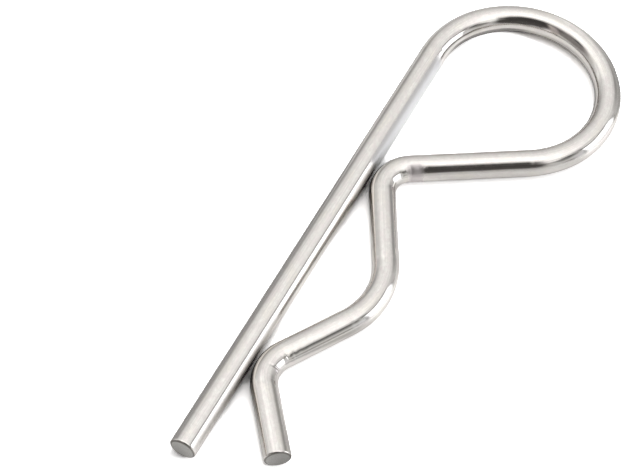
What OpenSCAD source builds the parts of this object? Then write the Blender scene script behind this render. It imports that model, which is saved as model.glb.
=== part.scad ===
// Hitch pin clip, also called an R clip: one length of round spring wire, bent in one plane.
// The straight leg goes through the cross hole of a shaft. The bent leg comes back from the spring
// loop and rides over the shaft, which it holds in a saddle between two crests.
// The clip lies flat: X along the leg, Y across the clip, Z through the wire.
// The origin is under the middle of the clip, on the surface that it lies on.

/* [Wire] */
// Diameter of the wire
wire_d = 3; // [2:0.1:3.6]
// Rounding of the edge round each cut end
cut_edge_r = 0.25; // [0.1:0.05:0.6]
// How much thinner the wire is where it is bent
bend_thinning = 0.03; // [0.03:0.01:0.1]

/* [Leg and loop] */
// Length of the straight leg, from its cut end to the start of the loop
leg_length = 59.5; // [55:0.5:80]
// Diameter inside the spring loop
loop_bore = 17.5; // [15:0.5:22]

/* [Saddle] */
// Diameter of the shaft that the saddle is bent round
shaft_d = 15; // [12:0.5:17]
// Distance from the leg's cut end to the middle of the shaft
shaft_x = 26.8; // [25:0.2:30]

/* [Crests] */
// Distance along the leg from the middle of the shaft to the crest nearer the loop
loop_crest_run = 14; // [13:0.1:17]
// Inside radius of the bend at the crest nearer the loop
loop_crest_bend_r = 2; // [1:0.1:2.6]
// Distance along the leg from the middle of the shaft to the crest nearer the tail
tail_crest_run = 13.6; // [13:0.1:17]
// Inside radius of the bend at the crest nearer the tail
tail_crest_bend_r = 2.8; // [1:0.1:3.2]
// Gap that is left between each crest and the leg
crest_gap = 0.15; // [0.1:0.05:1]

/* [Tail] */
// Length of the straight tail past its bend
tail_length = 8.6; // [5:0.1:12]
// Angle at which the tail flares away from the leg
tail_angle = 36.5; // [20:0.5:60]

/* [Hidden] */
wire_r = wire_d / 2;
bend_d = wire_d - bend_thinning;
steel = [0.78, 0.77, 0.75];
round_facets = 48;
sweep_facets = 72;

// A bend runs on inside the straights beside it by this angle, so that they join into one solid.
bend_lap = 1;

// The leg starts at x = 0 and heads along +X, with its axis on y = 0. Every bend is an arc of the
// wire's axis round a centre, and turns clockwise (-1) or anticlockwise (+1) along the wire.
clockwise = -1;
anticlockwise = 1;
loop_r = loop_bore / 2 + wire_r;
saddle_r = shaft_d / 2 + wire_r;
loop_crest_r = loop_crest_bend_r + wire_r;
tail_crest_r = tail_crest_bend_r + wire_r;

// At a crest the two wires lie side by side, so their axes are a wire and a gap apart.
crest_y = -(wire_d + crest_gap);
loop_centre = [leg_length, -loop_r];
loop_crest_centre = [shaft_x + loop_crest_run, crest_y - loop_crest_r];
saddle_centre = [shaft_x, 0];
tail_crest_centre = [shaft_x - tail_crest_run, crest_y - tail_crest_r];

// Each straight leaves one bend and enters the next, which turns the other way, along their
// common tangent. The headings of these straights give the ends of every arc.
leg_heading = 0;
neck_heading = tangent_heading(loop_centre, loop_r, clockwise, loop_crest_centre, loop_crest_r);
down_heading =
    tangent_heading(loop_crest_centre, loop_crest_r, anticlockwise, saddle_centre, saddle_r);
up_heading = tangent_heading(saddle_centre, saddle_r, clockwise, tail_crest_centre, tail_crest_r);
tail_heading = 180 + tail_angle;

// The clip's box runs from the leg's cut end to the far side of the loop, and from the leg's outer
// side to the far side of the loop.
overall_length = leg_length + loop_r + bend_d / 2;
overall_width = wire_r + 2 * loop_r + bend_d / 2;
middle = [overall_length / 2, wire_r - overall_width / 2, -wire_r];

function heading_vector(heading) = [cos(heading), sin(heading)];

function left_of(heading) = [-sin(heading), cos(heading)];

// Heading of the straight from a bend to the next one, when the two turn opposite ways
function tangent_heading(centre, r, turn, next_centre, next_r) =
    let (run = next_centre - centre)
    atan2(run.y, run.x) + turn * asin((r + next_r) / norm(run));

// Point of a bend's arc where the wire has the given heading
function arc_point(centre, r, turn, heading) = centre - turn * r * left_of(heading);

// Angle that a bend sweeps between two headings, always positive
function swept(turn, from, to) = (turn * (to - from) % 360 + 360) % 360;

// Lays what stands along +Z at the origin along the wire, from a point and in a heading
module along_wire(from, heading) {
    translate([from.x, from.y, 0])
        rotate([0, 90, heading])
            children();
}

// Straight wire between two points of its axis
module straight(from, to, heading) {
    along_wire(from, heading)
        cylinder(d = wire_d, h = norm(to - from), $fn = round_facets);
}

// Half of the lengthwise section of a cut end: the flat face at the bottom and its rounded edge
module cut_end_section(length) {
    flat_r = wire_r - cut_edge_r;
    square([flat_r, length]);
    translate([flat_r, cut_edge_r])
        square([cut_edge_r, length - cut_edge_r]);
    translate([flat_r, cut_edge_r])
        intersection() {
            circle(r = cut_edge_r, $fn = round_facets);
            translate([0, -cut_edge_r])
                square(cut_edge_r);
        }
}

// Straight wire that starts with a cut end, from a point and in a heading
module cut_straight(from, heading, length) {
    along_wire(from, heading)
        rotate_extrude($fn = round_facets)
            cut_end_section(length);
}

// Bent wire round a centre, from one heading to another
module bend(centre, r, turn, from, to) {
    first = turn == anticlockwise ? from - 90 : to + 90;
    sweep = swept(turn, from, to) + 2 * bend_lap;
    translate([centre.x, centre.y, 0])
        rotate_extrude(start = first - bend_lap, angle = sweep, $fn = sweep_facets)
            translate([r, 0])
                circle(d = bend_d, $fn = round_facets);
}

module straight_leg() {
    cut_straight([0, 0], leg_heading, leg_length);
}

module spring_loop() {
    bend(loop_centre, loop_r, clockwise, leg_heading, neck_heading);
}

module neck() {
    straight(
        arc_point(loop_centre, loop_r, clockwise, neck_heading),
        arc_point(loop_crest_centre, loop_crest_r, anticlockwise, neck_heading),
        neck_heading
    );
}

// The saddle is bent round the shaft, between two straights that run down from the crests
module saddle() {
    straight(
        arc_point(loop_crest_centre, loop_crest_r, anticlockwise, down_heading),
        arc_point(saddle_centre, saddle_r, clockwise, down_heading),
        down_heading
    );
    bend(saddle_centre, saddle_r, clockwise, down_heading, up_heading);
    straight(
        arc_point(saddle_centre, saddle_r, clockwise, up_heading),
        arc_point(tail_crest_centre, tail_crest_r, anticlockwise, up_heading),
        up_heading
    );
}

module crests() {
    bend(loop_crest_centre, loop_crest_r, anticlockwise, neck_heading, down_heading);
    bend(tail_crest_centre, tail_crest_r, anticlockwise, up_heading, tail_heading);
}

// The tail is drawn from its cut end back to the crest
module tail() {
    root = arc_point(tail_crest_centre, tail_crest_r, anticlockwise, tail_heading);
    tip = root + tail_length * heading_vector(tail_heading);
    cut_straight(tip, tail_heading + 180, tail_length);
}

module spring_wire() {
    color(steel)
        translate(-middle)
            union() {
                straight_leg();
                spring_loop();
                neck();
                crests();
                saddle();
                tail();
            }
}

spring_wire();
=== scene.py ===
# %% [markdown]
# # A hitch pin clip, dressed
#
# The clip is one length of round stainless spring wire, bent in one plane. Its exact solid comes
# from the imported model, which is loaded first and never changed. This lesson lays the wire again as a
# fine surface with the marks of its making and of its use, gives it the finish of drawn steel, and
# sets it on a white sheet in a room that is painted on the sky. All lengths are worked out in
# millimetres and put into the meshes in metres.

# %% Load the frame
import math
import bpy
import numpy as np
from mathutils import Matrix, Vector


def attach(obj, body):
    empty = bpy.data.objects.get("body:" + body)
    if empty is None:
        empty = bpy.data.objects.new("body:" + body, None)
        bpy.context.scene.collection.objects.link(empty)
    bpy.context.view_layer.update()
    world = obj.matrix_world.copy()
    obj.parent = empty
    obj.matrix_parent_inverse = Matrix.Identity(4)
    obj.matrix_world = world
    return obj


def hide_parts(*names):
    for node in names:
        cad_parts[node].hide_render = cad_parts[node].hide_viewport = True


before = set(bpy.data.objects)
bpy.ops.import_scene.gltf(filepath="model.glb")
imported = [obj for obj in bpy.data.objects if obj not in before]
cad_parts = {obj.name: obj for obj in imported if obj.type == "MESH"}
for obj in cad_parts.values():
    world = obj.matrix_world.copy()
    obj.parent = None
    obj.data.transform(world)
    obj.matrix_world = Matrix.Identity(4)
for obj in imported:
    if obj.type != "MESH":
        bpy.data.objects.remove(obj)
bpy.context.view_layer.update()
print("solids in the frame:", sorted(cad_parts))

MM = 0.001  # metres in a millimetre

# %% [markdown]
# ## The sizes
#
# A bent wire is fully told by its diameter and by the line that its middle follows. The line here
# is told the way a wire bender sets it up: run straight, bend by so much round a pin, run straight.
# The alternative is a spline through a row of points, but a spline can't hold a true radius, and
# the eye finds a wobble in a polished wire at once.

# %% Sizes of the wire and of its bends
WIRE_D = 3.0  # diameter of the straight wire
BEND_THINNING = 0.03  # how much thinner the wire is in a bend
CUT_EDGE_R = 0.25  # rounding round a cut end
LEG_LENGTH = 59.5  # the straight leg, from its cut end to the loop
LOOP_BORE = 17.5  # inside diameter of the spring loop
SHAFT_D = 15.0  # the shaft that the saddle grips
SHAFT_X = 26.8  # where the shaft's axis crosses the leg, from the leg's cut end
LOOP_CREST_RUN = 14.0  # from the shaft's axis to the crest beside the loop
LOOP_CREST_BEND_R = 2.0  # inside radius of that crest
TAIL_CREST_RUN = 13.6  # from the shaft's axis back to the crest beside the tail
TAIL_CREST_BEND_R = 2.8  # inside radius of that crest
CREST_GAP = 0.15  # air between a crest and the leg, before the thinning
TAIL_LENGTH = 8.6  # the straight tail after its crest
TAIL_ANGLE = 36.5  # degrees by which the tail flares away from the leg

wire_r = WIRE_D / 2
bend_r = (WIRE_D - BEND_THINNING) / 2
loop_r = LOOP_BORE / 2 + wire_r
saddle_r = SHAFT_D / 2 + wire_r
loop_crest_r = LOOP_CREST_BEND_R + wire_r
tail_crest_r = TAIL_CREST_BEND_R + wire_r

# The clip's middle, in the frame whose origin is the middle of the leg's cut end
overall_length = LEG_LENGTH + loop_r + bend_r
overall_width = wire_r + 2 * loop_r + bend_r
middle = np.array([overall_length / 2, wire_r - overall_width / 2])
print("length and width in mm:", overall_length, overall_width)

# %% [markdown]
# ## The line of the wire
#
# Four bends are known by their centres, radii and turns. Between two bends that turn opposite ways
# the wire runs along their inner common tangent, so its heading there follows from the two circles.
# With the headings known, every straight and every arc has a length, and the whole line is a table
# of runs: how long, and how sharply it turns.

# %% Headings and runs
CLOCKWISE, ANTICLOCKWISE = -1, 1


def left_of(heading):
    """Unit vector that points left of a heading: (-sin, cos). Works on whole arrays."""
    return np.stack([-np.sin(heading), np.cos(heading)], -1)


def tangent_heading(centre, r, turn, next_centre, next_r):
    """Heading of the straight from one bend to the next when they turn opposite ways: the heading
    from centre to centre, swung by the angle whose sine is (r + next_r) over the distance."""
    run = next_centre - centre
    return math.atan2(run[1], run[0]) + turn * math.asin((r + next_r) / math.hypot(*run))


crest_y = -(WIRE_D + CREST_GAP)
bends = [
    (np.array([LEG_LENGTH, -loop_r]), loop_r, CLOCKWISE),
    (np.array([SHAFT_X + LOOP_CREST_RUN, crest_y - loop_crest_r]), loop_crest_r, ANTICLOCKWISE),
    (np.array([SHAFT_X, 0.0]), saddle_r, CLOCKWISE),
    (np.array([SHAFT_X - TAIL_CREST_RUN, crest_y - tail_crest_r]), tail_crest_r, ANTICLOCKWISE),
]
headings = [0.0]
for (centre, r, turn), (next_centre, next_r, _) in zip(bends, bends[1:]):
    headings.append(tangent_heading(centre, r, turn, next_centre, next_r))
headings.append(math.pi + math.radians(TAIL_ANGLE))

# %% The table of runs
# each run of the wire: its length and its curvature, which is 0 on a straight
runs = [(LEG_LENGTH, 0.0)]
for k, (centre, r, turn) in enumerate(bends):
    sweep = (turn * (headings[k + 1] - headings[k])) % (2 * math.pi)
    runs.append((r * sweep, turn / r))
    leaves = centre - turn * r * left_of(headings[k + 1])
    if k + 1 < len(bends):
        next_centre, next_r, next_turn = bends[k + 1]
        enters = next_centre - next_turn * next_r * left_of(headings[k + 1])
        runs.append((math.hypot(*(enters - leaves)), 0.0))
runs.append((TAIL_LENGTH, 0.0))
LOOP_CREST, TAIL_CREST = 3, 7  # places of the two crests in the table

run_length, run_curvature = np.array(runs).T
run_start = np.concatenate([[0.0], np.cumsum(run_length)])
run_middle = run_start[:-1] + run_length / 2
wire_length = run_start[-1]
print("runs in mm:", np.round(run_length, 2).tolist())
print("developed length of the wire in mm:", round(wire_length, 2))

# %% [markdown]
# ## A point of the line for every length
#
# Walking along the wire, the heading grows by curvature times the length walked, and the point
# moves along the heading. On a straight that is a step; on an arc it is a chord, whose length is
# the arc's length times sin(half the turn) / (half the turn), laid at the mean heading. The same
# formula holds for both, because that ratio is 1 where the turn is 0.

# %% The line as a function of the length walked


def walk(start, heading, curvature, length):
    """Point and heading after a length of a run: the chord is length * sinc(half turn) long and
    lies at the mean of the first and the last heading."""
    half_turn = curvature * length / 2
    chord = length * np.sinc(half_turn / np.pi)
    mean = heading + half_turn
    along = np.stack([np.cos(mean), np.sin(mean)], -1)
    return start + chord[..., None] * along, heading + 2 * half_turn


starts = [np.zeros(2)]
first_headings = [0.0]
for length, curvature in runs:
    point, heading = walk(starts[-1], first_headings[-1], curvature, np.array(length))
    starts.append(point)
    first_headings.append(float(heading))
starts = np.array(starts)
first_headings = np.array(first_headings)


def run_of(s):
    """Number of the run that holds the length s."""
    return np.clip(np.searchsorted(run_start, s, side="right") - 1, 0, len(runs) - 1)


def axis_at(s):
    """Middle of the wire and its heading at the lengths s from the leg's cut end."""
    k = run_of(s)
    return walk(starts[k], first_headings[k], run_curvature[k], s - run_start[k])


print("tail's cut end in mm:", np.round(starts[-1], 3).tolist())

# %% [markdown]
# ## Where the rings go
#
# The surface is built of rings round the wire. A straight needs few of them and a bend needs many,
# but tool marks and cut ends need the most. So every place gets a density, the densities are added up
# along the wire, and that sum is divided evenly. The gaps then change smoothly from coarse to fine.

# %% Rings along the wall
RINGS = 960  # rings on the wall of the wire
SIDES = 84  # points round each ring
DENSITY_SAMPLES = 16001  # places where the density is worked out
EVENED_OVER = 201  # samples over which a step of the density is spread
STRAIGHT_DENSITY = 0.35
BEND_DENSITY = 1.0  # what a bend adds
END_DENSITY, END_FADE = 2.5, 0.6  # what a cut end adds, and over how many mm that fades
CREST_DENSITY, CREST_FADE = 2.2, 3.0  # the same for a crest

sampled = np.linspace(CUT_EDGE_R, wire_length - CUT_EDGE_R, DENSITY_SAMPLES)
density = STRAIGHT_DENSITY + BEND_DENSITY * (run_curvature[run_of(sampled)] != 0)
density = np.pad(density, EVENED_OVER // 2, mode="edge")
density = np.convolve(density, np.ones(EVENED_OVER) / EVENED_OVER, mode="valid")
density += END_DENSITY * np.exp(-np.minimum(sampled, wire_length - sampled) / END_FADE)
for crest in (LOOP_CREST, TAIL_CREST):
    density += CREST_DENSITY * np.exp(-((sampled - run_middle[crest]) / CREST_FADE) ** 2)
summed = np.concatenate([[0], np.cumsum((density[1:] + density[:-1]) / 2)])
s_wall = np.interp(np.linspace(0, summed[-1], RINGS), summed, sampled)
print("gaps between rings in mm from", np.diff(s_wall).min().round(3), "to", np.diff(s_wall).max().round(3))

# %% Rings on the cut ends
# The outline of a cut end goes from the middle of its face out to the wall: rings of growing width on
# the face, then a quarter circle of the edge's radius. Each ring has a depth in the wire and a width.
EDGE_RINGS = 9
FACE_RINGS = 10

edge_turn = np.linspace(0, np.pi / 2, EDGE_RINGS)[:-1]
face_width = np.linspace(0, wire_r - CUT_EDGE_R, FACE_RINGS + 1)[1:-1]
end_depth = np.concatenate([0 * face_width, CUT_EDGE_R * (1 - np.cos(edge_turn))])
end_width = np.concatenate([face_width, wire_r - CUT_EDGE_R * (1 - np.sin(edge_turn))])

s_ring = np.concatenate([end_depth, s_wall, wire_length - end_depth[::-1]])
width_ring = np.concatenate([end_width, np.full(RINGS, wire_r), end_width[::-1]])
ring_count = len(s_ring)
print("rings in all:", ring_count)

# %% [markdown]
# ## How the surface strays from a perfect tube
#
# What makes a tube look like bent wire is how its radius strays. It is a hair less in the bends. The
# inner side of a tight bend is pressed flat by the pin it was bent round, with shallow creases where
# the pin's edge bit. The outer side of each crest is rubbed flat where it slides on the leg. And no
# drawn wire is perfectly even: its radius wanders by a few microns, which a polished surface shows as
# a slow ripple in its highlights. Each of these is a small function of length and angle, and their
# sum is taken off the radius. A bump map could fake the creases, but not their outline.

# %% Functions for the marks
LEFT, RIGHT = 0.0, np.pi  # directions round the wire, seen along it
BEND_FADE = 0.5  # mm over which the thinning of a bend comes and goes
FLAT_FADE = 0.4  # mm over which a flat ends
# waves that wind round the wire: height in mm, radians for each mm along the wire, waves to a round, and
# where the wave starts in radians
WINDING_WAVES = ((0.0014, 2.9, 2, 0.0), (0.0022, 0.37, -1, 1.1), (0.0010, 4.7, -3, 0.0))


def smooth(x):
    """Smooth step from 0 to 1: 3x^2 - 2x^3, with x held between 0 and 1."""
    x = np.clip(x, 0, 1)
    return x * x * (3 - 2 * x)


def angle_from(phi, middle_angle):
    """Angle from a given direction round the wire, between -pi and pi."""
    return (phi - middle_angle + np.pi) % (2 * np.pi) - np.pi


def thinned(s):
    """Radius lost in the bends: half the thinning, faded in and out across each end of a bend."""
    loss = np.zeros_like(s)
    for k in range(1, len(runs), 2):
        after_start = smooth((s - run_start[k]) / BEND_FADE + 0.5)
        before_end = smooth((run_start[k + 1] - s) / BEND_FADE + 0.5)
        loss = loss + after_start * before_end * BEND_THINNING / 2
    return loss


def pressed_flat(s, phi, at, angle, half_length, depth):
    """Radius lost to a flat: a plane that lies at R - depth from the middle cuts the circle back to
    (R - depth) / cos(angle from the flat's middle), faded out beyond half_length along the wire."""
    off = angle_from(phi, angle)
    lost = wire_r - (wire_r - depth) / np.maximum(np.cos(off), 0.1)
    return np.maximum(lost, 0) * smooth((half_length - np.abs(s - at)) / FLAT_FADE + 0.5)


def crease(s, phi, at, angle, half_angle, width, depth):
    """Radius lost to a groove across the wire: depth times the bell curve exp(-(distance/width)^2)
    along the wire, faded over half_angle to each side. Its line wanders a little with the angle."""
    off = angle_from(phi, angle)
    line = at + 0.10 * np.sin(2.7 * off + 5 * at)
    return depth * np.exp(-((s - line) / width) ** 2) * smooth(1.6 * (1 - np.abs(off) / half_angle))


def unevenness(s, phi):
    """Slow wander of a drawn wire's radius, in mm: one wave that sways with the angle, and three that
    wind round the wire. Each is a height times the sine of a sum of the length and the angle."""
    wander = 0.0030 * np.sin(1.1 * s + 1.3 * np.sin(phi))
    for height, per_mm, per_round, start in WINDING_WAVES:
        wander = wander + height * np.sin(per_mm * s + per_round * phi + start)
    return wander


print("waves in the radius:", 1 + len(WINDING_WAVES))

# %% All marks together
UNDERSIZE = 0.013  # mm taken off all round, so that no wave stands out of the exact solid
PRESSED_HALF = {LOOP_CREST: 1.5, TAIL_CREST: 1.2}  # half lengths of the flats inside the crests
PRESSED_DEPTH = 0.05
RUBBED_HALF, RUBBED_DEPTH = 1.1, 0.012  # the flat that sliding on the leg has worn outside a crest
# creases beside the start of each crest's bend: place from it, width and depth, all in mm
ENTRY_CREASES = ((-1.5, 0.24, 0.010), (-0.8, 0.20, 0.016), (0.2, 0.18, 0.022), (1.0, 0.12, 0.008))


def radius_lost(s, phi):
    """All marks together, in mm. The loop bends clockwise, so its inner side is the wire's right;
    the crests bend anticlockwise, so their inner side is its left."""
    lost = thinned(s) + UNDERSIZE + unevenness(s, phi)
    for crest in (LOOP_CREST, TAIL_CREST):
        lost = lost + pressed_flat(s, phi, run_middle[crest], LEFT, PRESSED_HALF[crest], PRESSED_DEPTH)
        lost = lost + pressed_flat(s, phi, run_middle[crest], RIGHT, RUBBED_HALF, RUBBED_DEPTH)
        for place, width, depth in ENTRY_CREASES:
            lost = lost + crease(s, phi, run_start[crest] + place, LEFT + 0.5, 1.0, width, depth)
        # one more where the bend ends
        lost = lost + crease(s, phi, run_start[crest + 1] - 0.3, LEFT + 0.3, 1.0, width=0.14, depth=0.015)
    # the deepest one runs across the middle of the tail's crest
    return lost + crease(s, phi, run_middle[TAIL_CREST] + 0.1, LEFT + 0.5, 1.2, width=0.15, depth=0.055)


# %% [markdown]
# ## The cut ends
#
# The wire was sheared off. A cutter doesn't leave a flat face: it leaves one that is a few degrees out
# of square, slightly hollow, and covered with fine ridges that run side by side. The slant is made by
# sliding the last rings along the wire, and the ridges by sinking the points of the face.

# %% What the cutter left
CUT_ANGLE = 4.0  # degrees that a cut face is out of square
CUT_FADE = 4.0  # mm along the wire over which that dies out
FACE_SUNK = 0.006  # mm that the face is set back, so that no ridge stands out of the exact solid
RIDGE_HEIGHT = 0.003
HOLLOW_DEPTH = 0.02


def out_of_square(s, height):
    """How far a cut end is moved inwards, in mm: the cutter leaves the lower edge of the face short,
    by the slant times the distance below the wire's top, faded out along the wire."""
    slant = math.tan(math.radians(CUT_ANGLE))
    from_end = np.minimum(s, wire_length - s)
    return slant * (wire_r - height) * np.clip(1 - from_end / CUT_FADE, 0, 1)


def shear_marks(width, phi):
    """Depth of the cutter's marks in a cut face, in mm: coarse and fine ridges side by side, as sines
    of the place across the face, and a hollow that is deepest in the middle."""
    across = width * np.sin(phi)
    coarse = np.sin(9 * across + 1.5 * np.sin(2 * across))
    fine = np.sin(23 * across + width * np.cos(phi))
    return FACE_SUNK + RIDGE_HEIGHT * (coarse + 0.6 * fine) + HOLLOW_DEPTH * (1 - (width / wire_r) ** 2)


# %% [markdown]
# ## The surface itself
#
# With the middle of the wire, its heading and its radius known everywhere, the surface is one
# formula, computed for all rings and all sides at once.

# %% The swept surface


def surface_point(s, phi, width):
    """Point of the wire's surface: its middle at s, plus width times cos(phi) to the left of the
    heading and width times sin(phi) upwards."""
    centre, heading = axis_at(s)
    flat = centre - middle + (width * np.cos(phi))[..., None] * left_of(heading)
    return np.concatenate([flat, (wire_r + width * np.sin(phi))[..., None]], -1)


phi_side = np.arange(SIDES) * 2 * np.pi / SIDES
s_grid, phi_grid = np.meshgrid(s_ring, phi_side, indexing="ij")
width_grid = np.repeat(width_ring[:, None], SIDES, axis=1)
on_face = width_grid < wire_r - CUT_EDGE_R - 1e-6
lost = radius_lost(s_grid, phi_grid)
width_grid = np.where(on_face, width_grid, width_grid - lost * (width_grid / wire_r))
inwards = np.where(s_grid < wire_length / 2, 1, -1)
moved = out_of_square(s_grid, width_grid * np.sin(phi_grid))
moved = moved + np.where(on_face, shear_marks(width_grid, phi_grid), 0)
wall = surface_point(s_grid + inwards * moved, phi_grid, width_grid)

pole_depth = shear_marks(0.0, 0.0) + out_of_square(0.0, 0.0)
pole_s = np.array([pole_depth, wire_length - pole_depth])
poles = surface_point(pole_s, np.zeros(2), np.zeros(2))
print("radius lost in mm, from", lost.min().round(4), "to", lost.max().round(4))
print("cut faces reach in by up to", moved.max().round(3), "mm")
print("surface points:", wall.shape[0] * wall.shape[1] + 2)

# %% [markdown]
# ## Into a mesh
#
# The grid's points become vertices and each cell of the grid a four-sided face, wound so that it
# looks outwards. Both ends close on a single middle point, so there is no hole. Two things go with
# the mesh for the finish: a UV map that unrolls the wire, and the place that each point had on the
# straight wire before it was bent, in millimetres, so that drawn lines follow the bends.

# %% Build the mesh
verts = np.concatenate([wall.reshape(-1, 3), poles]) * MM
first_pole = ring_count * SIDES
last_pole = first_pole + 1

i, j = np.meshgrid(np.arange(ring_count - 1), np.arange(SIDES), indexing="ij")
j_next = (j + 1) % SIDES
quads = np.stack([i * SIDES + j, i * SIDES + j_next, (i + 1) * SIDES + j_next, (i + 1) * SIDES + j], -1)
side = np.arange(SIDES)
side_next = (side + 1) % SIDES
last_ring = (ring_count - 1) * SIDES
first_fan = np.stack([np.full(SIDES, first_pole), side_next, side], -1)
last_fan = np.stack([np.full(SIDES, last_pole), last_ring + side, last_ring + side_next], -1)

mesh = bpy.data.meshes.new("drawn_wire")
mesh.from_pydata(verts.tolist(), [], quads.reshape(-1, 4).tolist() + first_fan.tolist() + last_fan.tolist())
mesh.update()
mesh.shade_smooth()
print("faces:", len(mesh.polygons), "triangles:", 2 * quads.shape[0] * quads.shape[1] + 2 * SIDES)

# %% The unbent place of every point
unbent = np.stack([s_grid, width_grid * np.cos(phi_grid), width_grid * np.sin(phi_grid)], -1).reshape(-1, 3)
unbent = np.concatenate([unbent, [[0, 0, 0], [wire_length, 0, 0]]])
layer = mesh.attributes.new("unbent", "FLOAT_VECTOR", "POINT")
layer.data.foreach_set("vector", unbent.astype(np.float32).ravel())
print("unbent places:", len(unbent))

# %% The unrolled map
corner_vertex = np.empty(len(mesh.loops), dtype=np.int32)
mesh.loops.foreach_get("vertex_index", corner_vertex)
corner_face = np.repeat(np.arange(len(mesh.polygons)), [len(p.vertices) for p in mesh.polygons])
round_share = np.concatenate([(phi_grid / (2 * np.pi)).ravel(), [0.5, 0.5]])
u = unbent[corner_vertex, 0] / wire_length
v = round_share[corner_vertex]
# a face that closes the ring would run back from the last side to the first, so its corners move up
lowest = np.full(len(mesh.polygons), 2.0)
highest = np.full(len(mesh.polygons), -1.0)
np.minimum.at(lowest, corner_face, v)
np.maximum.at(highest, corner_face, v)
closes = (highest - lowest > 0.6)[corner_face] & (v < 0.3)
unrolled = mesh.uv_layers.new(name="unrolled")
unrolled.data.foreach_set("uv", np.stack([u, np.where(closes, v + 1, v)], -1).astype(np.float32).ravel())
print("corners moved up to close the ring:", int(closes.sum()))

# %% The piece and what it stands for
wire = bpy.data.objects.new("drawn_wire", mesh)
bpy.context.scene.collection.objects.link(wire)
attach(wire, "root")
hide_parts("spring_wire")
print("piece:", wire.name, "of length in mm:", round(wire_length, 2))

# %% [markdown]
# ## Words to build a material with
#
# A material is a tree of small nodes. Written out one by one they fill pages, so a few helpers name
# the steps that a finish is made of: a soft step, a stretch between two limits, a blend of two
# colours, noise drawn out along the wire. Limits that run downwards turn a step round.

# %% Node helpers


class Nodes:
    """Adds nodes to a tree in few words: a node's type, its settings, and what feeds its inputs."""

    def __init__(self, tree):
        self.tree = tree
        self.tree.nodes.clear()

    def add(self, kind, inputs=(), **settings):
        node = self.tree.nodes.new(kind)
        for name, value in settings.items():
            setattr(node, name, value)
        for name, value in dict(inputs).items():
            if isinstance(value, bpy.types.NodeSocket):
                self.tree.links.new(value, node.inputs[name])
            else:
                node.inputs[name].default_value = value
        return node

    def math(self, operation, a, b=0.0):
        return self.add("ShaderNodeMath", {0: a, 1: b}, operation=operation).outputs[0]

    def ramp(self, value, low, high, to_low=0.0, to_high=1.0):
        """Smooth step from to_low, where the value is at low, to to_high, where it is at high."""
        return self.add("ShaderNodeMapRange", {0: value, 1: low, 2: high, 3: to_low, 4: to_high},
                        interpolation_type="SMOOTHSTEP").outputs[0]

    def within(self, value, low, high, fade):
        """1 where the value lies between low and high, and down to 0 over a fade beyond them."""
        return self.math("MULTIPLY", self.ramp(value, low - fade, low), self.ramp(value, high + fade, high))

    def mix(self, share, a, b):
        """Number a where share is 0, number b where it is 1."""
        return self.add("ShaderNodeMix", {0: share, 2: a, 3: b}).outputs[0]

    def blend(self, share, a, b):
        """Colour a where share is 0, colour b where it is 1."""
        return self.add("ShaderNodeMix", {0: share, 6: a, 7: b}, data_type="RGBA").outputs[2]

    def distance(self, a, b):
        return self.add("ShaderNodeVectorMath", {0: a, 1: b}, operation="DISTANCE").outputs["Value"]

    def dot(self, a, b):
        return self.add("ShaderNodeVectorMath", {0: a, 1: b}, operation="DOT_PRODUCT").outputs["Value"]

    def noise(self, place, along, across, detail, roughness):
        """Noise on the unbent wire, with its waves packed so closely along the wire and across it."""
        waves = (along, across, across)
        packed = self.add("ShaderNodeVectorMath", {0: place, 1: waves}, operation="MULTIPLY")
        return self.add("ShaderNodeTexNoise", {"Vector": packed.outputs[0], "Scale": 1.0, "Detail": detail,
                                               "Roughness": roughness}).outputs["Fac"]


def grey(level, tint=(1.0, 1.0, 1.0)):
    """Colour of an even level, leaning towards a tint."""
    return (level * tint[0], level * tint[1], level * tint[2], 1.0)


# %% [markdown]
# ## The finish: drawn stainless steel
#
# Wire is drawn through a die, which burnishes it bright and leaves fine lines along it. The colour is
# a slightly warm grey, browner in patches, with faint straw stains and dull specks. All of it is
# metal, so a finish could be a single grey and a roughness, but then it looks poured and not drawn.
# Here each layer is noise that is drawn out along the unbent wire, so it follows every bend.

# %% Steel: where a point of the wire lies
steel = bpy.data.materials.new("drawn_steel")
steel.use_nodes = True
n = Nodes(steel.node_tree)
place = n.add("ShaderNodeAttribute", attribute_name="unbent").outputs["Vector"]
along, sideways, upwards = n.add("ShaderNodeSeparateXYZ", {0: place}).outputs
squares = n.math("ADD", n.math("MULTIPLY", sideways, sideways), n.math("MULTIPLY", upwards, upwards))
from_axis = n.math("SQRT", squares)
from_end = n.math("MINIMUM", along, n.math("SUBTRACT", wire_length, along))
print("nodes that find the place:", len(n.tree.nodes))

# %% Steel: the colour of the drawn wall
WARM = (1.0, 0.962, 0.915)
CLEAN_STEEL = grey(0.745, (1.0, 0.978, 0.925))
BROWN_STEEL = grey(0.71, (1.0, 0.930, 0.902))
STRAW_STAIN = grey(0.74, (1.0, 0.955, 0.865))
DULL_SPECK = grey(0.64, WARM)
DRAWN_LINE = grey(0.64, WARM)

lines = n.noise(place, 0.12, 9.0, detail=3.0, roughness=0.6)
fine_lines = n.noise(place, 0.5, 30.0, detail=2.0, roughness=0.6)
patches = n.noise(place, 0.9, 1.3, detail=3.0, roughness=0.6)
stains = n.noise(place, 0.35, 0.8, detail=2.0, roughness=0.5)
specks = n.noise(place, 2.2, 3.2, detail=2.0, roughness=0.7)
grain = n.noise(place, 7.0, 14.0, detail=3.0, roughness=0.65)

tone = n.blend(n.ramp(patches, 0.38, 0.62), CLEAN_STEEL, BROWN_STEEL)
tone = n.blend(n.ramp(stains, 0.50, 0.66), tone, n.blend(0.7, tone, STRAW_STAIN))
tone = n.blend(n.ramp(specks, 0.35, 0.68), tone, n.blend(0.5, tone, DULL_SPECK))
tone = n.blend(n.ramp(lines, 0.40, 0.75), tone, DRAWN_LINE)
print("nodes up to the wall's colour:", len(n.tree.nodes))

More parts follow.
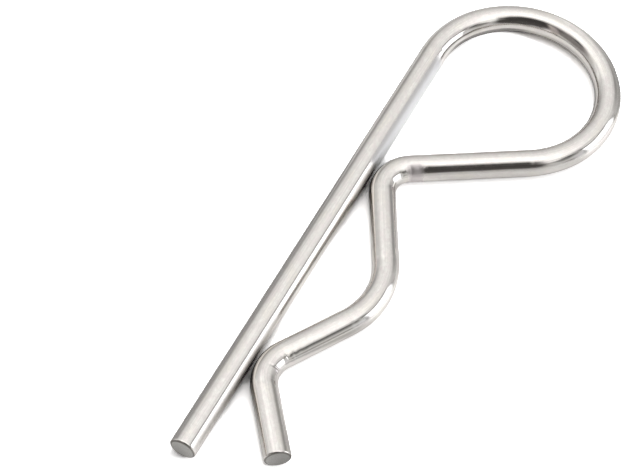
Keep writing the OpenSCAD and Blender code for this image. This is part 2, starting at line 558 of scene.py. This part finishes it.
# %% [markdown]
# ## Where the clip is worn, and where light and shade are painted on it
#
# A clip that is pushed on and pulled off a shaft wears in known places. A crest gets painted shade,
# with a rougher rub, on the side that rests on the leg. Just before the loop's crest the wire is
# scuffed on its inner side, where the bending pin gripped it. The leg's inner side gets a painted
# highlight, pale and matt, where the bent wire slides along it, and near the loop a dull stretch with
# a painted dark band and a painted pale edge. Each place is told by pairs of limits along the wire and
# across it, in millimetres on the unbent wire: where the mark begins, and where it is full.

# %% Steel: painted shade, and a rub, where a crest rests on the leg
RUB_ALONG = (3.2, 1.2)  # from the middle of a crest
RUB_SIDE = (-1.0, -1.35)  # towards the wire's right, which is the side that rests on the leg

rubbed_and_shaded = 0.0
for crest in (LOOP_CREST, TAIL_CREST):
    apart = n.math("ABSOLUTE", n.math("SUBTRACT", along, float(run_middle[crest])))
    patch = n.math("MULTIPLY", n.ramp(apart, *RUB_ALONG), n.ramp(sideways, *RUB_SIDE))
    rubbed_and_shaded = n.math("MAXIMUM", rubbed_and_shaded, patch)
    print("rubbed at", round(float(run_middle[crest]), 2), "mm along the wire")
# painted shade: the dark grey stands in for the shade where the crest meets the leg; the roughness further
# down stands for the rub
tone = n.blend(rubbed_and_shaded, tone, grey(0.24, (1.0, 0.96, 0.92)))

# %% Steel: scuffed where the bending pin gripped the neck
SCUFF_AT = float(run_start[LOOP_CREST]) - 0.30  # just before the bend of the loop's crest
SCUFF_ALONG = (1.9, 0.8)
SCUFF_SIDE = (0.1, 0.7)  # towards the wire's left, which is the inner side of the crest
SCUFF_RAGGED = 0.9  # how far the specks eat into its edge

scuffed = n.math("ABSOLUTE", n.math("SUBTRACT", along, SCUFF_AT))
scuffed = n.math("ADD", scuffed, n.math("MULTIPLY", specks, SCUFF_RAGGED))
scuffed = n.math("MULTIPLY", n.ramp(scuffed, *SCUFF_ALONG), n.ramp(sideways, *SCUFF_SIDE))
tone = n.blend(scuffed, tone, grey(0.68, (1.0, 0.93, 0.92)))
print("scuffed at", round(SCUFF_AT, 2), "mm along the wire")

# %% Steel: painted highlight, pale and matt, where the bent wire slides along the leg
BURNISHED_RUNS = ((0.0, 18.0), (37.5, 40.5))  # full from and to, along the leg
BURNISHED_FADE = 2.5  # mm over which each run fades
BURNISHED_SIDE = (-0.90, -1.10)  # towards the leg's right, where the bent wire lies
BURNISHED_UP = (0.25, 0.65)  # up from the wire's middle line

burnished_with_painted_highlight = 0.0
for low, high in BURNISHED_RUNS:
    burnished_with_painted_highlight = n.math("MAXIMUM", burnished_with_painted_highlight, n.within(along, low, high, BURNISHED_FADE))
burnished_with_painted_highlight = n.math("MULTIPLY", burnished_with_painted_highlight, n.ramp(sideways, *BURNISHED_SIDE))
burnished_with_painted_highlight = n.math("MULTIPLY", burnished_with_painted_highlight, n.ramp(upwards, *BURNISHED_UP))
# painted highlight: the pale colour stands in for the bright reflection along the leg's inner side; the matt
# roughness stands for burnishing
tone = n.blend(burnished_with_painted_highlight, tone, grey(0.95, WARM))
print("burnished length in mm:", sum(high - low for low, high in BURNISHED_RUNS))

# %% Steel: dulled, with a painted dark band and pale edge, between the loop's crest and the loop
DULLED_FROM = (41.0, 42.2)
DULLED_TO = (59.2, 57.8)
DULLED_SIDE = (-0.50, -0.68)
DULLED_RAGGED = 0.25  # how far the specks eat into its edge
# limits across the side for the painted reflection bands
PAINTED_BAND_EDGES = (-0.95, -1.30)  # dark up to the first, pale past the second
PAINTED_PALE_EDGE = grey(0.86)
PAINTED_DARK_BAND = grey(0.55, (1.0, 0.97, 0.95))

dulled_with_painted_bands = n.math("ADD", sideways, n.math("MULTIPLY", specks, DULLED_RAGGED))
dulled_with_painted_bands = n.math("MULTIPLY", n.ramp(dulled_with_painted_bands, *DULLED_SIDE), n.ramp(along, *DULLED_FROM))
dulled_with_painted_bands = n.math("MULTIPLY", dulled_with_painted_bands, n.ramp(along, *DULLED_TO))
# painted reflection: a dark band and a pale edge across the leg's side stand in for reflections; the
# roughness stands for the dulling
tone = n.blend(dulled_with_painted_bands, tone, n.blend(n.ramp(sideways, *PAINTED_BAND_EDGES), PAINTED_DARK_BAND, PAINTED_PALE_EDGE))
print("dulled length in mm:", round(DULLED_TO[1] - DULLED_FROM[1], 2))

# %% [markdown]
# ## The cut faces
#
# A cut face was never drawn. It is torn metal, duller, darker and matt, inside a rim where the edge was
# rounded over, which is painted dark for the dark that it mirrors. A second material would need a hard
# line between faces of the mesh.
# One material that mixes by the distance from the wire's middle and from its end has a soft one.

# %% Steel: the cut faces and their painted dark rim
FACE_WIDTH = (wire_r - 0.10, wire_r - 0.20)  # from the wire's middle line
FACE_DEPTH = (0.10, 0.04)  # from its end
RIM_WIDTH = (wire_r - 0.29, wire_r - 0.22)
RIM_DEPTH = (0.13, 0.05)
TORN_DARK = grey(0.36, (1.0, 0.97, 0.92))
TORN_PALE = grey(0.56, (1.0, 0.98, 0.94))

cut = n.math("MULTIPLY", n.ramp(from_axis, *FACE_WIDTH), n.ramp(from_end, *FACE_DEPTH))
rim = n.math("MULTIPLY", n.ramp(from_axis, *RIM_WIDTH), n.ramp(from_end, *RIM_DEPTH))
tone = n.blend(cut, tone, n.blend(n.ramp(grain, 0.38, 0.62), TORN_DARK, TORN_PALE))
# painted reflection: the rim's dark grey stands in for the dark that the rounded edge mirrors
tone = n.blend(rim, tone, grey(0.25, (1.0, 0.95, 0.88)))
print("cut faces are torn metal out to", FACE_WIDTH[1], "mm from the middle")

# %% Steel: how rough each place is
rough = n.ramp(lines, 0.3, 0.8, 0.06, 0.13)
rough = n.math("ADD", rough, n.ramp(patches, 0.4, 0.7, 0.0, 0.04))
worn_places = (
    (n.math("MAXIMUM", cut, rim), 0.42),
    (rubbed_and_shaded, 0.3),
    (scuffed, 0.48),
    (burnished_with_painted_highlight, 0.44),
    (dulled_with_painted_bands, 0.5),
)
for worn, roughness in worn_places:
    rough = n.mix(worn, rough, roughness)
print("places with a roughness of their own:", len(worn_places))

# %% Steel: fine relief, and the shader
RELIEF_DEPTH = 0.004 * MM
RELIEF_STRENGTH = 0.25

relief = n.math("ADD", n.math("MULTIPLY", lines, 0.6), n.math("MULTIPLY", fine_lines, 0.4))
relief = n.math("ADD", relief, n.math("MULTIPLY", grain, 0.25))
bump = n.add("ShaderNodeBump", {"Strength": RELIEF_STRENGTH, "Distance": RELIEF_DEPTH, "Height": relief})
surface = n.add("ShaderNodeBsdfPrincipled", {"Base Color": tone, "Metallic": 1.0, "Roughness": rough,
                                             "Specular Tint": grey(0.75), "Normal": bump.outputs[0]})
surface.distribution = "GGX"
n.add("ShaderNodeOutputMaterial", {"Surface": surface.outputs[0]})
mesh.materials.append(steel)
print("nodes in the steel:", len(steel.node_tree.nodes))

# %% [markdown]
# ## The sheet
#
# The clip lies on a plain white sheet, where it came to rest. A flat square would do for the shadow,
# but the narrow painted shade where a round wire comes down to the sheet needs to know how far each
# place is from the wire. So the sheet has a fine net of points under the clip, and each carries that
# distance. The net is fine only where it is needed, and one row of long cells on each side of it
# reaches to the edges of the sheet.

# %% A sheet that knows how near the wire is
SHEET = 3.0  # side of the square, in metres
NET_HALF_LENGTH, NET_HALF_WIDTH = 42.0, 18.0  # how far the fine net reaches from the middle, in mm
NET_STEP = 0.25
AXIS_SAMPLES = 400  # places of the wire's middle to measure from
FAR_AWAY = 5.0  # mm, past which the distance no longer matters


def net_line(half_length):
    """Places of the net's lines along one axis, in metres: fine steps to half_length on both sides of
    the middle, and one more line at each edge of the sheet."""
    fine = np.arange(-half_length, half_length + NET_STEP / 2, NET_STEP) * MM
    return np.concatenate(([-SHEET / 2], fine, [SHEET / 2]))


net_x, net_y = np.meshgrid(net_line(NET_HALF_LENGTH), net_line(NET_HALF_WIDTH))
rows, columns = net_x.shape
first = (np.arange(rows - 1)[:, None] * columns + np.arange(columns - 1)[None, :]).ravel()
cells = np.stack((first, first + 1, first + columns + 1, first + columns), axis=1)
floor_mesh = bpy.data.meshes.new("white_sheet")
floor_mesh.from_pydata(np.stack((net_x, net_y, 0 * net_x), axis=-1).reshape(-1, 3).tolist(), [],
                       cells.tolist())
floor_mesh.update()

beside = np.full(net_x.size, FAR_AWAY)
for x, y in axis_at(np.linspace(0.0, wire_length, AXIS_SAMPLES))[0] - middle:
    beside = np.minimum(beside, np.hypot(net_x.ravel() / MM - x, net_y.ravel() / MM - y))
floor_mesh.attributes.new("beside", "FLOAT", "POINT").data.foreach_set("value", beside.astype(np.float32))
floor = bpy.data.objects.new("white_sheet", floor_mesh)
bpy.context.scene.collection.objects.link(floor)
print("points in the sheet's net:", net_x.size)

# %% [markdown]
# ## What the wire mirrors of the sheet
#
# Half of what bright metal shows is the sheet it lies on. A studio lays cards beside a shiny thing, to
# draw clean light and dark bands into it. Real cards would be in the picture. Light Path lets the
# sheet have two faces instead: a plain white one for the camera, and one for everything else, on
# which light and shade are painted as soft-edged cards. The second is grey and a little glossy, with
# a ring of painted shade under the loop's top.

# %% The sheet that the wire mirrors
MIRRORED_GREY = 0.84

paper = bpy.data.materials.new("white_sheet")
paper.use_nodes = True
n = Nodes(paper.node_tree)
spot = n.add("ShaderNodeTexCoord").outputs["Object"]
across, depth, _ = n.add("ShaderNodeSeparateXYZ", {0: spot}).outputs


def lay_painted_card(n, below, x_low, x_high, y_low, y_high, softness, level):
    """Paints a soft-edged card of light or shade on the sheet, sizes in millimetres, and gives back the
    sheet's colour.
    """
    share = n.math("MULTIPLY", n.within(across, x_low * MM, x_high * MM, softness * MM),
                   n.within(depth, y_low * MM, y_high * MM, softness * MM))
    return n.blend(share, below, grey(level))


# painted cards, bright ones painted light and dark ones painted shade: name, lower and upper x, lower and
# upper y, softness and level of each card
PAINTED_SHEET_CARDS = (
    ("beyond the leg", -300, 8, 16, 300, 4, 0.32),
    ("between the leg and the bends", -60, 30, 3, 9, 3, 1.0),
    ("inside the saddle", -17, 1, 6, 8.7, 1.5, 1.3),
    ("between the loop's crest and the loop", 14, 26, 5, 8.7, 1.5, 1.3),
    ("inside the loop", 23, 33, -5, 2, 3, 1.0),
    ("beyond the neck", 27, 300, -300, -9, 6, 0.42),
    ("beside the neck", 21, 28, -18, -11, 3, 1.15),
    ("outside the saddle", -10, -4, -6, 1, 2, 1.15),
    ("beside the tail", -32, -15, -5, -1, 3, 0.55),
)
mirrored = grey(MIRRORED_GREY)
for name, x_low, x_high, y_low, y_high, softness, level in PAINTED_SHEET_CARDS:
    mirrored = lay_painted_card(n, mirrored, x_low, x_high, y_low, y_high, softness, level)
    mirrored.node.label = name
print("cards on the sheet:", len(PAINTED_SHEET_CARDS))

# %% The painted shade ring under the loop's top
RING_IN, RING_OUT, RING_FADE = 0.9, 1.4, 1.0  # mm that it reaches in and out from the bore's edge
RING_X, RING_Y = (24.5, 28), (0.8, 3.8)  # mm: none of it before the first, all of it past the second
RING_LEVEL = 0.30

bore_r = LOOP_BORE / 2
loop_centre = (np.array([LEG_LENGTH, -loop_r]) - middle) * MM
from_centre = n.distance(spot, (*loop_centre.tolist(), 0.0))
painted_shade_under_loop = n.within(from_centre, (bore_r - RING_IN) * MM, (bore_r + RING_OUT) * MM, RING_FADE * MM)
painted_shade_under_loop = n.math("MULTIPLY", painted_shade_under_loop, n.ramp(across, RING_X[0] * MM, RING_X[1] * MM))
painted_shade_under_loop = n.math("MULTIPLY", painted_shade_under_loop, n.ramp(depth, RING_Y[0] * MM, RING_Y[1] * MM))
# painted shade: the contact shadow under the loop's top, as the wire mirrors it
mirrored = n.blend(painted_shade_under_loop, mirrored, grey(RING_LEVEL))
print("loop's middle in mm:", np.round(loop_centre / MM, 2).tolist())

# %% [markdown]
# ## What the camera sees of the sheet
#
# The camera sees a matt sheet that is a little over full white, so it stays clean where the light is
# full, and the shadow beside the wire still shows. Two places get painted shade on top of that. The
# nook beside a crest, where two wires meet and hardly any light gets in, is painted darker. And a
# narrow painted shade follows the wire where its round side comes down to the sheet, and fades out
# towards the loop's far end.

# %% The sheet that the camera sees
CAMERA_WHITE = 2.6
NOOK_OFFSET = np.array([0.4, 1.8])  # from the middle of a crest towards the leg, in mm
NOOK_REACH = (2.7, 1.2)
NOOK_LEVEL = 0.5
SHADE_REACH = (1.75, 1.1)  # mm from the wire's middle line: none at the first, full at the second
SHADE_ENDS = (31, 27)  # mm towards the loop's far end
SHADE_LEVEL = 1.35

white = grey(CAMERA_WHITE)
for crest in (LOOP_CREST, TAIL_CREST):
    nook = (axis_at(run_middle[crest:crest + 1])[0][0] - middle + NOOK_OFFSET) * MM
    from_nook = n.distance(spot, (*nook.tolist(), 0.0))
    # painted shade in the nook beside each crest
    white = n.blend(n.ramp(from_nook, NOOK_REACH[0] * MM, NOOK_REACH[1] * MM), white, grey(NOOK_LEVEL))
painted_contact_shade = n.ramp(n.add("ShaderNodeAttribute", attribute_name="beside").outputs["Fac"], *SHADE_REACH)
painted_contact_shade = n.math("MULTIPLY", painted_contact_shade, n.ramp(across, SHADE_ENDS[0] * MM, SHADE_ENDS[1] * MM))
# painted shade: a narrow dark edge along the wire where it comes down to the sheet
white = n.blend(painted_contact_shade, white, grey(SHADE_LEVEL))
print("shade reaches", SHADE_REACH[0] - wire_r, "mm out from under the wire")

# %% Both faces of the sheet in one material
ray = n.add("ShaderNodeLightPath").outputs
glossy_face = n.add("ShaderNodeBsdfPrincipled", {"Base Color": mirrored, "Roughness": 0.12, "IOR": 2.0})
camera_face = n.add("ShaderNodeBsdfDiffuse", {"Color": white})
either = n.add("ShaderNodeMixShader", {0: ray["Is Camera Ray"], 1: glossy_face.outputs[0],
                                       2: camera_face.outputs[0]})
n.add("ShaderNodeOutputMaterial", {"Surface": either.outputs[0]})
floor_mesh.materials.append(paper)
print("nodes in the sheet:", len(paper.node_tree.nodes))

# %% [markdown]
# ## The light
#
# Bright metal shows the room, so the light is a room: a pale tent that is dim at the horizon and
# bright overhead, with a window at one side and the dark half of the room behind the camera. Lamps
# could do it, but their hard frames would show in the wire. Here the room is painted on the sky as
# patches and upright cards with soft edges, laid over each other like sheets of tracing paper.

# %% Two brushes to paint the sky with
UPWARDS = (0.0, 0.0, 1.0)


def towards(azimuth, elevation):
    """Unit vector towards an azimuth, from +X turning left, and a height over the horizon."""
    a = math.radians(azimuth)
    e = math.radians(elevation)
    return (math.cos(e) * math.cos(a), math.cos(e) * math.sin(a), math.sin(e))


def round_patch(n, direction, below, azimuth, elevation, radius, softness, colour):
    """Lays a round patch over the sky: the angle to its middle is the arc cosine of the dot product,
    and the patch's share goes from 0 to 1 across a rim that is softness degrees wide."""
    angle = n.math("ARCCOSINE", n.dot(direction, towards(azimuth, elevation)))
    share = n.ramp(angle, math.radians(radius + softness / 2), math.radians(radius - softness / 2))
    return n.blend(share, below, colour)


def upright_card(n, direction, below, azimuth, half_width, low, high, softness, colour):
    """Lays an upright card over the sky: the turn from its middle is the arc tangent of how far the
    direction goes sideways over how far it goes forward, and its height is the arc sine of z."""
    to_side = n.dot(direction, towards(azimuth + 90, 0))
    turn = n.math("ARCTAN2", to_side, n.dot(direction, towards(azimuth, 0)))
    height = n.math("ARCSINE", n.dot(direction, UPWARDS))
    edge = softness / 2
    share = n.ramp(n.math("ABSOLUTE", turn), math.radians(half_width + edge), math.radians(half_width - edge))
    share = n.math("MULTIPLY", share, n.ramp(height, math.radians(low - edge), math.radians(low + edge)))
    share = n.math("MULTIPLY", share, n.ramp(height, math.radians(high + edge), math.radians(high - edge)))
    return n.blend(share, below, colour)


# %% The tent
HORIZON, OVERHEAD = -8, 76  # degrees between which the tent grows from dim to bright
DIM, BRIGHT = 0.62, 1.25

world = bpy.data.worlds.new("studio")
world.use_nodes = True
bpy.context.scene.world = world
n = Nodes(world.node_tree)
direction = n.add("ShaderNodeTexCoord").outputs["Generated"]
height = n.math("ARCSINE", n.dot(direction, UPWARDS))
sky = n.blend(n.ramp(height, math.radians(HORIZON), math.radians(OVERHEAD)), grey(DIM), grey(BRIGHT))
print("tent's level from", DIM, "to", BRIGHT)

# %% The room, painted on the tent
NEUTRAL = (1.0, 1.0, 1.0)
BROWN = (1.0, 0.95, 0.92)
ROSE = (1.0, 0.93, 0.91)
COOL = (0.97, 0.99, 1.03)

# name, azimuth, elevation, radius, softness, level and tint of each round patch
ROUND_PATCHES = (
    ("overhead sheet", 178, 56, 55, 34, 1.62, NEUTRAL),
    ("brown wall", 140, 32, 29, 28, 0.27, BROWN),
    ("dark doorway", 218, 26, 22, 20, 0.09, BROWN),
    ("foot of the curtain", 260, -1, 6, 8, 0.30, NEUTRAL),
    ("dark behind the camera", 194, 45, 30, 22, 0.06, BROWN),
    ("dark over the doorway", 224, 51, 8, 13, 0.07, BROWN),
    ("dark below the camera", 194, 16, 20, 20, 0.09, BROWN),
    ("edge of the table", 188, 4, 9, 14, 0.42, NEUTRAL),
    ("grey curtain", 256, 27, 10, 12, 0.30, NEUTRAL),
    ("fold of the curtain", 265, 34, 7, 12, 0.15, NEUTRAL),
    ("top of the curtain", 279, 41, 4, 9, 0.20, NEUTRAL),
    ("lens", 124, 46, 6, 8, 0.12, NEUTRAL),
    ("far wall", 338, 15, 12, 24, 0.38, NEUTRAL),
    ("left wall", 58, 6, 12, 24, 0.42, NEUTRAL),
    ("high lamp", 70, 54, 9, 14, 1.45, NEUTRAL),
)
for name, azimuth, elevation, radius, softness, level, tint in ROUND_PATCHES:
    sky = round_patch(n, direction, sky, azimuth, elevation, radius, softness, grey(level, tint))
    sky.node.label = name
print("round patches in the room:", len(ROUND_PATCHES))

# %% The upright cards in front of it
# name, azimuth, half width, lower and upper edge, softness, level and tint of each card
UPRIGHT_CARDS = (
    ("rose edge of the wall", 164, 5.5, -5, 58, 9, 0.52, ROSE),
    ("light edge of the curtain", 270, 5.0, -8, 18, 8, 0.85, COOL),
    ("wall over the window", 276, 32.0, 44, 48, 8, 0.70, NEUTRAL),
    ("pale door", 7, 5.0, 6, 44, 10, 1.15, NEUTRAL),
    ("pale post", 90, 5.0, 8, 46, 10, 1.08, NEUTRAL),
    ("window frame", 295, 20.0, -20, 37, 4, 0.22, NEUTRAL),
    ("window", 295, 18.0, -20, 31, 4, 2.1, COOL),
)
for name, azimuth, half_width, low, high, softness, level, tint in UPRIGHT_CARDS:
    sky = upright_card(n, direction, sky, azimuth, half_width, low, high, softness, grey(level, tint))
    sky.node.label = name
print("upright cards in the room:", len(UPRIGHT_CARDS))

# %% A plain white backdrop for the camera
ray = n.add("ShaderNodeLightPath").outputs
backdrop = n.math("MAXIMUM", ray["Is Camera Ray"], ray["Is Transmission Ray"])
sky = n.blend(backdrop, sky, grey(1.0))
painted = n.add("ShaderNodeBackground", {"Color": sky})
n.add("ShaderNodeOutputWorld", {"Surface": painted.outputs[0]})
print("nodes in the room:", len(world.node_tree.nodes))

# %% The lamp that throws the shadow
KEY_AZIMUTH, KEY_HEIGHT = 278, 30  # degrees
KEY_DISTANCE, KEY_SIZE = 1.2, 0.35  # metres
KEY_LEVEL = 0.35  # what it adds to a white sheet that faces up

key = bpy.data.lights.new("key_lamp", "AREA")
key.shape = "DISK"
key.size = KEY_SIZE
# a disk lamp of power P sends out P / (pi * area) towards the front, so what falls on a sheet that
# faces up is that times its area times the sine of its height over the distance squared, and a white
# sheet sends on 1 / pi of what falls on it
key.energy = KEY_LEVEL * math.pi ** 2 * KEY_DISTANCE ** 2 / math.sin(math.radians(KEY_HEIGHT))
key_lamp = bpy.data.objects.new("key_lamp", key)
key_lamp.location = Vector(towards(KEY_AZIMUTH, KEY_HEIGHT)) * KEY_DISTANCE
key_lamp.rotation_euler = (-key_lamp.location).to_track_quat("-Z", "Y").to_euler()
key_lamp.visible_glossy = False
key_lamp.visible_camera = False
bpy.context.scene.collection.objects.link(key_lamp)
print("key lamp's power in watts:", round(key.energy, 2))

# %% [markdown]
# ## The camera
#
# A long lens from about a third of a metre, looking down at the sheet. A long lens keeps the two ends
# of the clip nearly the same size, as a catalogue picture does. The camera is told by the spot that it
# aims at, by where it stands as seen from there, and by how far it is turned about its line of sight.

# %% Camera
AIM = np.array([-4.0305, 11.3615, 0.0])  # a spot of the sheet, in mm from the clip's middle
CAMERA_DISTANCE = 325.803  # mm
CAMERA_AZIMUTH, CAMERA_HEIGHT = 201.9336, 54.337  # degrees
CAMERA_ROLL = -6.1647  # degrees
FOCAL_LENGTH, SENSOR_WIDTH = 174.769, 36.0  # mm
NEAREST, FURTHEST = 0.01, 10.0  # metres

backwards = np.array(towards(CAMERA_AZIMUTH, CAMERA_HEIGHT))
level_right = np.cross(UPWARDS, backwards)
level_right = level_right / np.linalg.norm(level_right)
level_up = np.cross(backwards, level_right)
roll = math.radians(CAMERA_ROLL)
up = math.cos(roll) * level_up + math.sin(roll) * level_right
camera_at = (AIM + CAMERA_DISTANCE * backwards) * MM
axes = np.stack([np.cross(up, backwards), up, backwards, camera_at], 1)

lens = bpy.data.cameras.new("camera")
lens.sensor_width = SENSOR_WIDTH
lens.lens = FOCAL_LENGTH
lens.clip_start = NEAREST
lens.clip_end = FURTHEST
camera = bpy.data.objects.new("camera", lens)
camera.matrix_world = Matrix([*axes.tolist(), [0, 0, 0, 1]])
bpy.context.scene.collection.objects.link(camera)
bpy.context.scene.camera = camera
bpy.context.scene.view_settings.view_transform = "Standard"
print("camera in mm:", np.round(camera_at / MM, 2).tolist())
